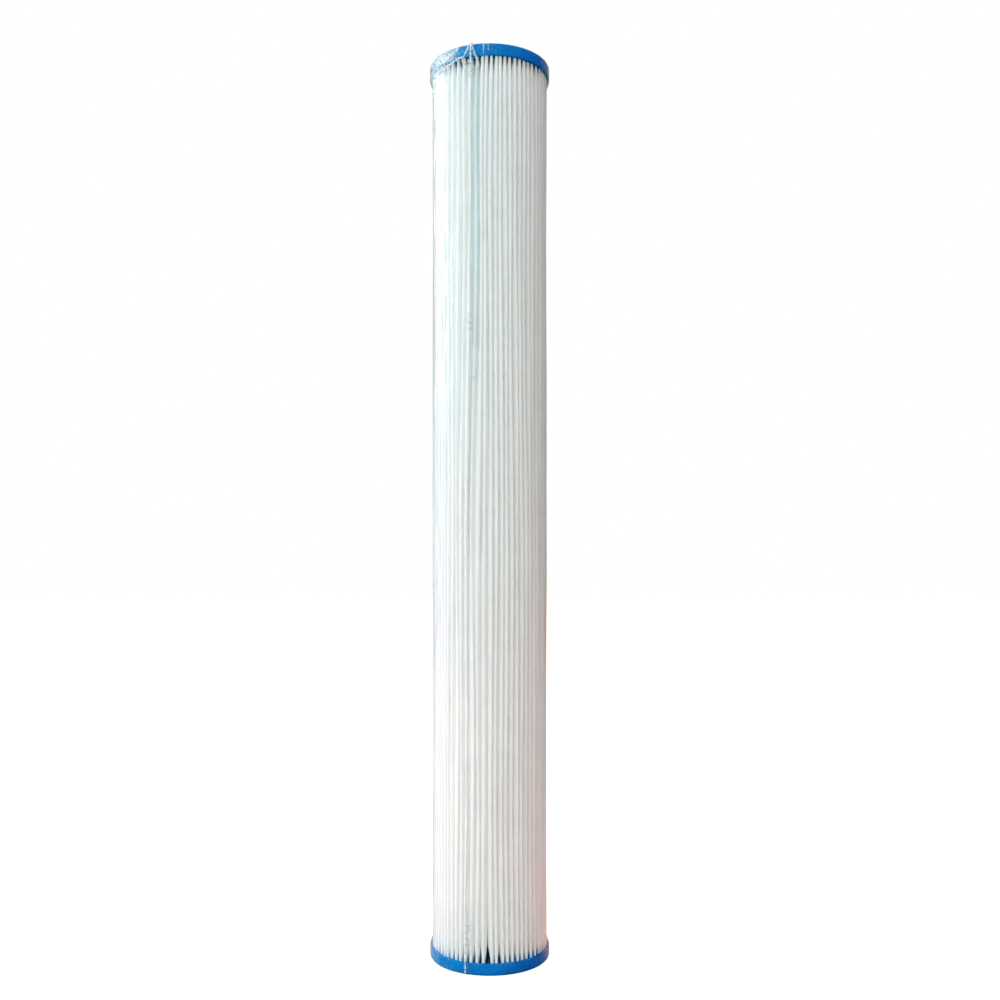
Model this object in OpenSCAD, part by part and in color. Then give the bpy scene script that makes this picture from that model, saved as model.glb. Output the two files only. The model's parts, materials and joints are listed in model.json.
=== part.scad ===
// Pleated filter cartridge, double open ended: a folded filter sheet round a perforated core,
// cast into a soft end cap at each end and sealed in a clear shrink film.
// Millimetres. The axis is Z, and z = 0 is the sealing land of the bottom cap.

/* [Cartridge] */
// Length over the two sealing lands
length = 508; // [240:1:1020]
// Outer diameter of the end caps
cap_od = 68; // [56:0.5:84]
// Diameter of the open bore through each cap
bore_d = 28; // [20:0.5:34]

/* [End caps] */
// Height of the skirt above the sealing land
skirt_h = 7.2; // [6:0.1:12]
// Wall of the skirt round the pleats
skirt_wall = 1.3; // [1:0.1:2]
// Thickness of the cap floor, with the sealing land
floor_t = 5; // [4:0.1:5.8]
// Depth that the sheet and the core are cast into the floor
cast_depth = 3; // [1.5:0.1:3.5]
// Width of the flat sealing land round the bore
land_w = 12; // [6:0.5:12.5]
// Height that the sealing land stands proud of the outer face
land_rise = 0.4; // [0.3:0.05:0.8]
// Radius of the outer edge
edge_r = 1.6; // [1:0.1:2]
// Radius of the skirt's lip
lip_r = 0.4; // [0.2:0.05:0.45]
// Chamfer at the mouth of the bore
bore_chamfer = 0.5; // [0.2:0.1:1]
// Width of the cap material inside the core, round the bore
bore_lip = 0.8; // [0.5:0.1:1.5]

/* [Filter sheet] */
// Number of pleats
pleats = 64; // [44:1:72]
// Thickness of the sheet
sheet_t = 0.5; // [0.3:0.05:0.6]
// Open gap between neighbouring pleats at their tips
tip_gap = 1.15; // [0.6:0.05:1.3]
// Open gap inside a pleat at its root
root_gap = 0.35; // [0.2:0.05:0.4]
// Clearance between the pleat tips and the skirt
tip_clear = 0.1; // [0.05:0.05:0.3]
// Clearance between the pleat roots and the core
root_clear = 0.2; // [0.1:0.05:0.5]
// Length of the flat sheet end past the last bend, at the side seam
seam_end = 0.6; // [0.3:0.1:0.9]
// Depth of the adhesive strip in the side seam
seam_depth = 7; // [4:0.5:9]

/* [Core] */
// Wall of the core tube
core_wall = 2.2; // [1.8:0.1:3]
// Number of windows round the core
window_cols = 8; // [6:2:8]
// Width of a window
window_w = 8; // [5:0.5:9]
// Height of a window
window_h = 7.5; // [4:0.5:12]
// Height of the ring between two rows of windows
ring_h = 3; // [2:0.5:5]
// Solid length at the end of a core section
core_end = 12; // [10:1:18]
// Length of the spigot that joins the two core sections
spigot_l = 8; // [5:1:9]
// Radial clearance of the spigot in its socket
spigot_clear = 0.05; // [0.02:0.01:0.1]

/* [Shrink film] */
// Thickness of the film
film_t = 0.15; // [0.1:0.01:0.2]
// Gap between the film and the pleat tips
film_clear = 0.1; // [0.05:0.05:0.3]
// Length over which the film tapers from the skirt to the pleats
film_neck = 5; // [3:0.5:12]
// Gap between the sealing land and the rim of the film
film_rim_gap = 1; // [0.5:0.1:2]
// Width of the film's weld seam
weld_w = 0.8; // [0.6:0.1:2]
// Height that the weld seam stands off the film
weld_h = 0.2; // [0.1:0.05:0.3]
// Direction of the weld seam about the axis
weld_angle = 248; // [0:1:359]

/* [Hidden] */
$fn = 96;

cap_r = cap_od / 2;
bore_r = bore_d / 2;
land_r = bore_r + land_w;
core_ri = bore_r + bore_lip;
core_ro = core_ri + core_wall;
cast_z = floor_t - cast_depth;      // where the ends of the sheet and the core lie

// Pleat geometry: each bend is an arc, and the flanks are the straight lines that touch both arcs
half_pitch = 180 / pleats;
tip_ro = cap_r - skirt_wall - tip_clear;
root_ri = core_ro + root_clear;
tip_outer = (PI * tip_ro / pleats - tip_gap / 2) / (1 + PI / pleats);
root_outer = (PI * root_ri / pleats - root_gap / 2) / (1 - PI / pleats);
tip_mid = tip_outer - sheet_t / 2;
root_mid = root_outer - sheet_t / 2;
tip_centre_r = tip_ro - tip_outer;
root_centre_r = root_ri + root_outer;
tip_steps = 4;
root_steps = 2;
seam_angle = 90;                    // the side seam faces the back

function polar(r, a) = [r * cos(a), r * sin(a)];
function arc(c, r, from, to, steps) = [for (i = [0 : steps]) c + polar(r, from + (to - from) * i / steps)];
function reversed(list) = [for (i = [len(list) - 1 : -1 : 0]) list[i]];
function mirrored(p) = [p[0], -p[1]];

// Direction of the flank's normal, for a pleat whose tip points along +X
centre_step = polar(root_centre_r, half_pitch) - [tip_centre_r, 0];
flank = atan2(centre_step[1], centre_step[0]) - acos((tip_mid + root_mid) / norm(centre_step));

// side is 1 for the outer skin of the sheet and -1 for its inner skin
function tip_bend(k, side) = arc(
    polar(tip_centre_r, 2 * half_pitch * k), tip_mid + side * sheet_t / 2,
    2 * half_pitch * k - flank, 2 * half_pitch * k + flank, tip_steps);
function root_bend(k, side) = arc(
    polar(root_centre_r, half_pitch * (2 * k + 1)), root_mid - side * sheet_t / 2,
    2 * half_pitch * k + flank + 180, 2 * half_pitch * (k + 1) - flank + 180, root_steps);
// A point on the flank of the seam pleat, at a distance out along it from the start of the bend
function seam_point(side, out) = [tip_centre_r, 0] + polar(tip_mid + side * sheet_t / 2, flank)
    + polar(out, flank - 90);
function skin(side) = concat(
    [seam_point(side, seam_end)],
    [for (k = [0 : pleats - 1]) each concat(k > 0 ? tip_bend(k, side) : [], root_bend(k, side))],
    [mirrored(seam_point(side, seam_end))]);

// The outline of the folded sheet, which is open at the side seam
module sheet_outline() {
    rotate(seam_angle) polygon(concat(skin(1), reversed(skin(-1))));
}

// The strip between the sheet's two ends; side 0 reaches into the middle of the sheet on both sides
module seam_outline(side = -1) {
    edge = [seam_point(side, seam_end), seam_point(side, -seam_depth)];
    rotate(seam_angle) polygon(concat(edge, reversed([for (p = edge) mirrored(p)])));
}

module ring_outline(outer, inner) {
    difference() {
        circle(r = outer);
        circle(r = inner);
    }
}

// The turned section of a cap, from the bore out over the face and round the skirt
module cap_section() {
    skirt_ri = cap_r - skirt_wall;
    polygon(concat(
        [[bore_r, bore_chamfer], [bore_r + bore_chamfer, 0], [land_r - land_rise, 0], [land_r, land_rise]],
        arc([cap_r - edge_r, land_rise + edge_r], edge_r, -90, 0, 6),
        arc([cap_r - lip_r, skirt_h - lip_r], lip_r, 0, 90, 3),
        arc([skirt_ri + lip_r, skirt_h - lip_r], lip_r, 90, 180, 3),
        [[skirt_ri, floor_t], [bore_r, floor_t]]));
}

// One cast cap, with the slots that the sheet, the seam strip and the core are cast into
module end_cap() {
    color("dodgerblue") difference() {
        rotate_extrude() cap_section();
        translate([0, 0, cast_z]) linear_extrude(cast_depth + 1) {
            sheet_outline();
            seam_outline(0);
            ring_outline(core_ro, core_ri);
        }
    }
}

module bottom_end_cap() {
    end_cap();
}

module top_end_cap() {
    translate([0, 0, length]) mirror([0, 0, 1]) end_cap();
}

module pleated_media() {
    color("white") translate([0, 0, cast_z]) linear_extrude(length - 2 * cast_z) sheet_outline();
}

module media_side_seam() {
    color("ivory") translate([0, 0, cast_z]) linear_extrude(length - 2 * cast_z) seam_outline();
}

// Rows of windows between two heights, spread evenly
module core_windows(bottom, top) {
    rows = max(1, floor((top - bottom + ring_h) / (window_h + ring_h)));
    pitch = (top - bottom + ring_h) / rows;
    for (row = [0 : rows - 1])
        translate([0, 0, bottom + row * pitch]) linear_extrude(pitch - ring_h)
            for (col = [0 : window_cols / 2 - 1])
                rotate(col * 360 / window_cols) square([3 * core_ro, window_w], center = true);
}

// The spigot is the inner half of the wall and the socket the outer half
joint_z = length / 2;
spigot_ro = core_ri + core_wall / 2 - spigot_clear / 2;
socket_ri = spigot_ro + spigot_clear;

module core_tube_lower() {
    color("gainsboro") difference() {
        union() {
            translate([0, 0, cast_z]) linear_extrude(joint_z - cast_z) ring_outline(core_ro, core_ri);
            translate([0, 0, joint_z - 1]) linear_extrude(spigot_l + 1) ring_outline(spigot_ro, core_ri);
        }
        core_windows(cast_z + core_end, joint_z - core_end);
    }
}

module core_tube_upper() {
    color("gainsboro") difference() {
        translate([0, 0, joint_z]) linear_extrude(length - cast_z - joint_z) ring_outline(core_ro, core_ri);
        translate([0, 0, joint_z - 1]) linear_extrude(spigot_l + 1) circle(r = socket_ri);
        core_windows(joint_z + core_end, length - cast_z - core_end);
    }
}

// The section of the film's lower half, as the surface at a distance off the cap and the pleats
film_rim_r = land_r + film_rim_gap;
function film_line(off) = concat(
    [[film_rim_r, land_rise - off]],
    arc([cap_r - edge_r, land_rise + edge_r], edge_r + off, -90, 0, 6),
    [[cap_r + off, skirt_h], [tip_ro + film_clear + off, skirt_h + film_neck]]);
// The whole line, from the bottom rim to the top rim
function whole_film_line(off) = concat(
    film_line(off), reversed([for (p = film_line(off)) [p[0], length - p[1]]]));

module film_section(near, far) {
    polygon(concat(whole_film_line(far), reversed(whole_film_line(near))));
}

module shrink_film() {
    color("lightcyan", 0.3) rotate_extrude() film_section(0, film_t);
}

module film_weld_seam() {
    weld_turn = weld_w / cap_r * 180 / PI;
    color("white", 0.6) rotate(weld_angle - weld_turn / 2)
        rotate_extrude(angle = weld_turn) film_section(film_t, film_t + weld_h);
}

bottom_end_cap();
top_end_cap();
pleated_media();
media_side_seam();
core_tube_lower();
core_tube_upper();
shrink_film();
film_weld_seam();
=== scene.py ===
"""Pleated filter cartridge: a folded filter sheet between two soft end caps, sealed in clear shrink film.

Each operator builds one piece, or a group of like pieces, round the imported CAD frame. Lengths are in metres.
"""

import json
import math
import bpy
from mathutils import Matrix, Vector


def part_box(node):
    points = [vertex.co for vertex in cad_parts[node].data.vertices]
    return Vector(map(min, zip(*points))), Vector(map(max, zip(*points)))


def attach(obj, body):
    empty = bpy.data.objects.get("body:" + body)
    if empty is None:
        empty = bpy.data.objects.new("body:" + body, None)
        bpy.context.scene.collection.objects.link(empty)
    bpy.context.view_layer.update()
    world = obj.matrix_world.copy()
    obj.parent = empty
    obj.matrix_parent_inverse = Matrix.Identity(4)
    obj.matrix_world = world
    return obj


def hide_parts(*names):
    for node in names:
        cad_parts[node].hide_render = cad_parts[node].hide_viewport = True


bl_info = {
    "name": "Pleated Filter Cartridge",
    "version": (1, 0, 0),
    "blender": (4, 5, 0),
    "location": "View3D > Sidebar > Cartridge",
    "description": "Builds a pleated filter cartridge in its shrink film",
    "category": "Add Mesh",
}

import bpy
import numpy as np
from bpy.props import FloatProperty, FloatVectorProperty, IntProperty, PointerProperty
from mathutils import Vector

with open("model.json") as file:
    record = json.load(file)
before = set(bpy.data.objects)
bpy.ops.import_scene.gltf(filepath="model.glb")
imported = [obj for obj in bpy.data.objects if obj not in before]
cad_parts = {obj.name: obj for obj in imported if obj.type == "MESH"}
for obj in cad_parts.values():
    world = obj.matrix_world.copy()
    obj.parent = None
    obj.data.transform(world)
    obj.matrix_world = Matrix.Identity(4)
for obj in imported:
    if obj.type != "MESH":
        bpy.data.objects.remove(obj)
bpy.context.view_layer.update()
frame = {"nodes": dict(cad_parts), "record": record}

MM = 0.001
TAU = 2 * math.pi
ROOT_BODY = "root"

# Sizes that the CAD frame fixes
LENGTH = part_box("top_end_cap")[1].z
CAP_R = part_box("bottom_end_cap")[1].x
SKIRT_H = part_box("bottom_end_cap")[1].z
TIP_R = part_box("pleated_media")[1].x
CAST_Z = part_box("pleated_media")[0].z
CORE_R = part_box("core_tube_lower")[1].x
SEAM_LOW, SEAM_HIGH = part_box("media_side_seam")
WELD_LOW, WELD_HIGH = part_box("film_weld_seam")
BORE_R = next(m for m in frame["record"]["mounts"] if m["name"] == "top_bore")["dims"]["r_mm"] * MM

SHEET_SEAM_AZ = math.pi / 2
WELD_AZ = math.atan2(WELD_LOW.y + WELD_HIGH.y, WELD_LOW.x + WELD_HIGH.x)


# ---------------------------------------------------------------- sizes and colours


def number_setting(name, description, default, **kind):
    """A number that the user can change."""
    return FloatProperty(name=name, description=description, default=default, **kind)


def length_setting(name, description, default):
    return number_setting(name, description, default, unit="LENGTH")


def power_setting(name, description, default):
    return number_setting(name, description, default, unit="POWER")


def share_setting(name, description, default):
    return number_setting(name, description, default, min=0.0, max=1.0, subtype="FACTOR")


def colour_setting(name, description, default):
    return FloatVectorProperty(name=name, description=description, default=default, subtype="COLOR")


class SheetSettings(bpy.types.PropertyGroup):
    """The folded filter sheet"""

    pleats: IntProperty(name="Pleats", description="Number of pleats", default=64, min=12)
    thickness: length_setting("Thickness", "Thickness of the sheet", 0.5 * MM)
    tip_bend: length_setting("Tip bend", "Radius of a tip's bend where it is cast in", 0.72 * MM)
    relaxed_bend: length_setting("Relaxed bend", "Radius of a tip's bend between the caps", 0.3 * MM)
    root_bend: length_setting("Root bend", "Radius of a root's bend", 0.44 * MM)
    root_clearance: length_setting("Root clearance", "Gap between the roots and the core", 0.2 * MM)
    belly_depth: length_setting("Belly depth", "Depth below the tip where a pleat is widest", 1.05 * MM)
    pleat_gap: length_setting("Pleat gap", "Least gap between two pleats", 0.03 * MM)
    spread_length: length_setting("Spread length", "Length over which pleats open out past a cap", 15 * MM)
    uneven: number_setting(
        "Unevenness", "How far a tip is cast out of place, as a share of the pitch", 0.05
    )
    lean: number_setting("Lean", "How far a tip wanders between the caps, as a share of the pitch", 0.14)
    tip_drop: length_setting("Tip drop", "How far a tip may lie below the tallest one", 0.3 * MM)
    colour: colour_setting("Colour", "Colour of the nonwoven", (0.9, 0.905, 0.9))
    # Painted highlight: a lighter colour along each tip, standing in for light on the creases
    tip_highlight_colour: colour_setting(
        "Tip highlight colour", "Colour painted along the tips as a highlight", (0.99, 0.99, 0.985)
    )
    tip_highlight_depth: length_setting("Tip highlight depth", "Depth below a tip that is painted lighter as a highlight", 0.75 * MM)
    soak_height: length_setting(
        "Soak height", "How far the plastisol has soaked up the sheet over a skirt", 4.5 * MM
    )
    cream: colour_setting("Cream", "The warmer end of its uneven tone", (0.94, 0.9, 0.84))
    fibre_size: length_setting("Fibre size", "Spacing of the fibres", 0.22 * MM)
    bond_pitch: length_setting("Bond pitch", "Spacing of the nonwoven's bond points", 1.3 * MM)


class CapSettings(bpy.types.PropertyGroup):
    """The two cast end caps"""

    colour: colour_setting("Colour", "Colour of the plastisol", (0.0, 0.19, 0.52))
    land_width: length_setting("Land width", "Width of the sealing land", 12 * MM)
    land_rise: length_setting("Land rise", "Height of the land over the outer face", 0.4 * MM)
    floor_height: length_setting("Floor height", "Height of the cap's floor inside the skirt", 5 * MM)
    skirt_wall: length_setting("Skirt wall", "Wall of the skirt round the pleats", 1.3 * MM)
    edge_radius: length_setting("Edge radius", "Radius of the outer edge", 1.6 * MM)
    lip_radius: length_setting("Lip radius", "Radius of the skirt's lip", 0.5 * MM)
    climb: length_setting("Climb", "How far the plastisol climbs between the pleats at the skirt", 2.0 * MM)
    cast_wave: length_setting("Cast wave", "Unevenness of the cast lip", 0.12 * MM)


class CoreSettings(bpy.types.PropertyGroup):
    """The perforated core and the adhesive in the sheet's side seam"""

    colour: colour_setting("Colour", "Colour of the core's plastic", (0.8, 0.8, 0.78))
    adhesive_colour: colour_setting("Adhesive colour", "Colour of the hot-melt adhesive", (0.78, 0.7, 0.5))
    bead_wave: length_setting("Bead wave", "Unevenness of the adhesive's outer bead", 0.16 * MM)


class FilmSettings(bpy.types.PropertyGroup):
    """The clear shrink film and its weld seam"""

    thickness: length_setting("Thickness", "Thickness of the film", 0.05 * MM)
    clearance: length_setting("Clearance", "Gap between the film and what it covers", 0.07 * MM)
    neck: length_setting("Neck", "Length over which the film comes down from a cap to the pleats", 4.5 * MM)
    sag: length_setting("Sag", "Dip of the film between two pleats", 0.06 * MM)
    rim_gap: length_setting("Rim gap", "Gap between the sealing land and the film's rim", 1 * MM)
    gather: length_setting("Gather", "Height of the gathers at the film's rim", 0.5 * MM)
    crease: length_setting("Crease", "Height of the creases in a crumpled patch", 0.35 * MM)
    roughness: share_setting("Roughness", "Roughness of the film's gloss", 0.09)
    haze: share_setting("Haze", "Cloudiness of the film where it isn't creased", 0.01)
    doubled_tint: colour_setting(
        "Doubled tint", "Tint of the film where the weld's flap lies over it", (0.94, 0.967, 0.975)
    )
    flap_width: length_setting("Flap width", "Width of the weld's flap, to its right", 5.5 * MM)
    weld_haze: share_setting("Weld haze", "Cloudiness of the weld where it isn't creased", 0.07)
    weld_width: length_setting("Weld width", "Width of the weld seam", 0.7 * MM)
    weld_height: length_setting("Weld height", "Height of the weld seam over the film", 0.1 * MM)


class StageSettings(bpy.types.PropertyGroup):
    """The floor, the lights and the camera"""

    floor_colour: colour_setting("Floor colour", "Colour of the floor", (0.56, 0.5, 0.46))
    floor_glow: number_setting("Floor glow", "Glow of the floor where it is seen", 0.95)
    camera_distance: length_setting("Camera distance", "Distance from the camera to the axis", 0.6281)
    camera_height: length_setting("Camera height", "Height of the camera over the floor", 0.2276)
    focal_length: FloatProperty(
        name="Focal length", description="Focal length on a 36 mm sensor", default=39.4, unit="CAMERA"
    )
    window_power: power_setting("Window", "Power of the window behind the left", 11.3)
    wall_power: power_setting("Wall", "Power of the light wall on the left", 4)
    key_power: power_setting("Soft box", "Power of the cool light over the front", 23)
    fill_power: power_setting("Fill", "Power of the cool light over the right", 12)
    front_power: power_setting("Front", "Power of the warm light in front", 8.9)
    low_power: power_setting("Low wall", "Power of the low light on the left", 2.3)
    table_power: power_setting("Table, left", "Power of the light off the table", 2.3)
    warm_power: power_setting("Table, right", "Power of the warm light off the table", 0.27)
    line_power: power_setting("Warm line", "Power of the close warm light", 0.016)
    room: number_setting("Room", "Brightness of the room's bright side", 1.13)
    room_dim: number_setting("Room, dim side", "Brightness of the room's dim side", 0.52)


SETTINGS = {
    "filter_sheet": SheetSettings,
    "filter_caps": CapSettings,
    "filter_core": CoreSettings,
    "filter_film": FilmSettings,
    "filter_stage": StageSettings,
}


# ---------------------------------------------------------------- shared making


def smoothstep(x):
    x = np.clip(x, 0, 1)
    return x * x * (3 - 2 * x)


def polar(radius, azimuth):
    """Points at these radii and azimuths, with x and y in the last axis."""
    return np.stack([radius * np.cos(azimuth), radius * np.sin(azimuth)], -1)


def waves(seed, turns, heights, lobes, wavelengths, count):
    """Random sine waves over azimuth, in radians, and height. Each closes on itself round the axis."""
    rng = np.random.default_rng(seed)
    for _ in range(count):
        around = rng.integers(lobes[0], lobes[1] + 1) * rng.choice([-1, 1])
        along = TAU / rng.uniform(*wavelengths)
        yield np.sin(around * turns + along * heights + rng.uniform(0, TAU))


def ripples(seed, turns, heights, lobes, wavelengths, count=10):
    """Smooth noise of about unit height."""
    return sum(waves(seed, turns, heights, lobes, wavelengths, count)) * (2 / count) ** 0.5


def creases(seed, turns, heights, lobes, wavelengths, count=8):
    """Noise with sharp ridges, as in crumpled film, from 0 to about 1."""
    every = waves(seed, turns, heights, lobes, wavelengths, count)
    return sum((1 - np.abs(wave)) ** 2 for wave in every) / count * 1.6


def angle_from(azimuth, centre):
    """The signed angle from centre to each azimuth, the short way round."""
    return (azimuth - centre + math.pi) % TAU - math.pi


def make_object(name, points, faces, replaced, material, sharp_from=60):
    """A piece of the cartridge: its mesh, its material, and the CAD node that it stands for.

    Edges that turn by more than sharp_from degrees stay sharp.
    """
    mesh = bpy.data.meshes.new(name)
    mesh.from_pydata(np.asarray(points).reshape(-1, 3).tolist(), [], faces)
    mesh.validate()
    mesh.update()
    mesh.shade_smooth()
    mesh.set_sharp_from_angle(angle=math.radians(sharp_from))
    mesh.materials.append(material)
    piece = bpy.data.objects.new(name, mesh)
    bpy.context.scene.collection.objects.link(piece)
    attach(piece, ROOT_BODY)
    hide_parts(replaced)
    return piece


def grid_faces(rows, columns, wrap):
    """Quads between neighbours in a grid numbered row by row; wrap joins the last column to the first."""
    steps = np.arange(columns if wrap else columns - 1)
    row, column = np.meshgrid(np.arange(rows - 1), steps, indexing="ij")
    after = (column + 1) % columns
    low, high = row * columns, (row + 1) * columns
    corners = [low + column, low + after, high + after, high + column]
    return np.stack([c.ravel() for c in corners], -1)


def closed_tube_faces(rows, columns):
    """The sides of a tube made of rings, and one face over each end."""
    sides = grid_faces(rows, columns, True).tolist()
    first, last = list(range(columns)), list(range((rows - 1) * columns, rows * columns))
    return sides + [first[::-1], last]


def add_point_values(piece, name, values):
    attribute = piece.data.attributes.new(name, "FLOAT", "POINT")
    attribute.data.foreach_set("value", np.asarray(values, np.float32).ravel())


def add_uv(piece, name, coordinates):
    """A UV map from one pair of coordinates for each vertex."""
    mesh = piece.data
    layer = mesh.uv_layers.new(name=name)
    vertex = np.empty(len(mesh.loops), np.int32)
    mesh.loops.foreach_get("vertex_index", vertex)
    layer.uv.foreach_set("vector", np.asarray(coordinates, np.float32).reshape(-1, 2)[vertex].ravel())


# ---------------------------------------------------------------- materials


class Nodes:
    """A short way to write the nodes of a material or of the world."""

    def __init__(self, name, kind="Material"):
        kept_in = bpy.data.worlds if kind == "World" else bpy.data.materials
        self.owner = kept_in.new(name)
        self.owner.use_nodes = True
        self.tree = self.owner.node_tree
        self.tree.nodes.clear()
        self.output = self.add("Output" + kind)

    def add(self, kind, values=None, **settings):
        """A node with these settings. Each value is a plain one, or an output to link to the socket."""
        node = self.tree.nodes.new("ShaderNode" + kind)
        for key, value in settings.items():
            setattr(node, key, value)
        for key, value in (values or {}).items():
            if isinstance(value, bpy.types.NodeSocket):
                self.tree.links.new(value, node.inputs[key])
            else:
                node.inputs[key].default_value = value
        return node

    def place(self):
        """The position on the object, in metres."""
        return self.add("TexCoord").outputs["Object"]

    def held(self, name):
        """A value that the mesh holds for each point."""
        return self.add("Attribute", attribute_name=name).outputs["Fac"]

    def noise(self, vector, scale, detail=3.0, roughness=0.5, distortion=0.0):
        values = {"Scale": scale, "Detail": detail, "Roughness": roughness, "Distortion": distortion}
        return self.add("TexNoise", {"Vector": vector, **values}).outputs["Fac"]

    def remap(self, value, low, high, to_low, to_high):
        ends = {"From Min": low, "From Max": high, "To Min": to_low, "To Max": to_high}
        return self.add("MapRange", {"Value": value, **ends}).outputs["Result"]

    def math(self, operation, *values):
        return self.add("Math", dict(enumerate(values)), operation=operation).outputs["Value"]

    def times(self, first, second):
        return self.math("MULTIPLY", first, second)

    def plus(self, first, second):
        return self.math("ADD", first, second)

    def stretch(self, vector, scale):
        return self.add("Mapping", {"Vector": vector, "Scale": scale}).outputs["Vector"]

    def bump(self, height, distance, strength=1.0, normal=None):
        values = {"Height": height, "Distance": distance, "Strength": strength}
        if normal is not None:
            values["Normal"] = normal
        return self.add("Bump", values).outputs["Normal"]

    def tones(self, value, low, high):
        """A colour between two, by a value from 0 to 1."""
        ramp = self.add("ValToRGB", {"Fac": value})
        ramp.color_ramp.elements[0].color = (*low, 1)
        ramp.color_ramp.elements[1].color = (*high, 1)
        return ramp.outputs["Color"]

    def drift(self, noise, colour, low, high):
        """A colour that drifts with a noise, from one share of itself to another."""
        return self.tones(self.remap(noise, 0.3, 0.7, 0.0, 1.0), scaled(colour, low), scaled(colour, high))

    def mix(self, share, first, second):
        """The first colour, with this share of the second."""
        colours = [c if isinstance(c, bpy.types.NodeSocket) else (*c, 1) for c in (first, second)]
        values = {"Factor": share, 6: colours[0], 7: colours[1]}
        return self.add("Mix", values, data_type="RGBA").outputs[2]

    def blend(self, share, first, second):
        """The first shader, with this share of the second."""
        return self.add("MixShader", {"Fac": share, 1: first.outputs[0], 2: second.outputs[0]})

    def finish(self, shader):
        self.tree.links.new(shader.outputs[0], self.output.inputs["Surface"])
        return self.owner


def scaled(colour, share):
    return tuple(min(1.0, c * share) for c in colour)


def scattering(weight, radius, scale):
    """How light spreads under a surface."""
    return {"Subsurface Weight": weight, "Subsurface Radius": radius, "Subsurface Scale": scale}


def nonwoven_material(s, soak_colour):
    """White spunbonded polyester: matted fibres, rows of small bond points, a mottle and cream streaks.

    Its tips are painted whiter along each crease as a highlight, and plastisol has soaked up into it at the
    caps.
    """
    n = Nodes("nonwoven")
    flat = n.add("UVMap", uv_map="Sheet").outputs["UV"]
    place = n.place()
    fibre_scale = 1 / s.fibre_size
    fibres = n.noise(n.stretch(flat, (1, 0.22, 1)), fibre_scale, 4.0, 0.62, 1.6)
    cross_fibres = n.noise(n.stretch(flat, (0.3, 1, 1)), fibre_scale * 0.8, 3.0, 0.6, 2.2)
    mat = n.plus(n.times(fibres, 0.6), n.times(cross_fibres, 0.4))
    rows_of_bonds = {"Vector": flat, "Scale": 1 / s.bond_pitch, "Randomness": 0.12}
    bonds = n.add("TexVoronoi", rows_of_bonds).outputs["Distance"]
    dimples = n.remap(bonds, 0.16, 0.34, 0.0, 1.0)
    mottle = n.noise(place, 90.0, 4.0, 0.6)
    shade = n.times(n.remap(mottle, 0.3, 0.7, 0.0, 1.0), n.remap(mat, 0.25, 0.7, 0.55, 1.0))
    height = n.plus(n.times(mat, 0.7), n.times(dimples, 0.3))
    streaks = n.noise(n.stretch(place, (1, 1, 0.06)), 150.0, 2.0, 0.5)
    tone = n.mix(n.remap(streaks, 0.42, 0.68, 0.0, 0.55), s.colour, s.cream)
    # Painted highlight: the creased mask marks the tips, which are painted lighter
    tone = n.mix(n.times(n.held("creased"), 0.9), tone, s.tip_highlight_colour)
    tone = n.mix(n.remap(shade, 0.0, 1.0, 0.16, 0.0), tone, scaled(s.colour, 0.55))
    tone = n.mix(n.times(n.held("soaked"), 0.85), tone, soak_colour)
    values = {
        "Base Color": tone,
        "Roughness": n.remap(mat, 0.3, 0.7, 0.62, 0.86),
        "Normal": n.bump(height, 0.09 * MM, 1.0),
        "Sheen Weight": 0.25,
        "Sheen Roughness": 0.5,
        "Specular IOR Level": 0.35,
        **scattering(0.9, (1.0, 1.0, 1.0), 1.5 * MM),
    }
    return n.finish(n.add("BsdfPrincipled", values))


def plastisol_material(s):
    """Soft cast vinyl: a satin skin with a fine orange peel, a few pits and a slight drift in its colour."""
    n = Nodes("plastisol")
    place = n.place()
    drift = n.noise(place, 120.0, 3.0, 0.5)
    peel = n.noise(place, 1500.0, 2.0, 0.5)
    pits = n.add("TexVoronoi", {"Vector": place, "Scale": 420.0, "Randomness": 1.0}).outputs["Distance"]
    pitted = n.remap(pits, 0.05, 0.16, 0.0, 1.0)
    height = n.plus(n.times(peel, 0.5), n.times(pitted, 0.5))
    values = {
        "Base Color": n.drift(drift, s.colour, 0.86, 1.12),
        "Roughness": n.remap(peel, 0.3, 0.7, 0.24, 0.36),
        "Specular IOR Level": 0.12,
        "Normal": n.bump(height, 0.05 * MM, 0.6),
        **scattering(0.15, (0.3, 0.6, 1.0), 1 * MM),
    }
    return n.finish(n.add("BsdfPrincipled", values))


def moulded_material(s):
    """Natural polypropylene with faint flow marks along its length."""
    n = Nodes("moulded_polypropylene")
    place = n.place()
    flow = n.noise(n.stretch(place, (1, 1, 0.15)), 500.0, 4.0, 0.6)
    grain = n.noise(place, 2400.0, 2.0)
    values = {
        "Base Color": n.drift(flow, s.colour, 0.92, 1.04),
        "Roughness": n.remap(flow, 0.3, 0.7, 0.34, 0.5),
        "Normal": n.bump(grain, 0.02 * MM, 0.5),
        **scattering(0.2, (1.0, 1.0, 1.0), 1.2 * MM),
    }
    return n.finish(n.add("BsdfPrincipled", values))


def adhesive_material(s):
    """Set hot-melt adhesive: waxy, with small waves and bubbles."""
    n = Nodes("hot_melt_adhesive")
    place = n.place()
    waves = n.noise(place, 700.0, 3.0, 0.55, 0.6)
    values = {
        "Base Color": n.drift(waves, s.adhesive_colour, 0.88, 1.08),
        "Roughness": n.remap(waves, 0.3, 0.7, 0.22, 0.4),
        "Normal": n.bump(waves, 0.1 * MM, 0.7),
        **scattering(0.3, (1.0, 0.8, 0.5), 1.5 * MM),
    }
    return n.finish(n.add("BsdfPrincipled", values))


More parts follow.
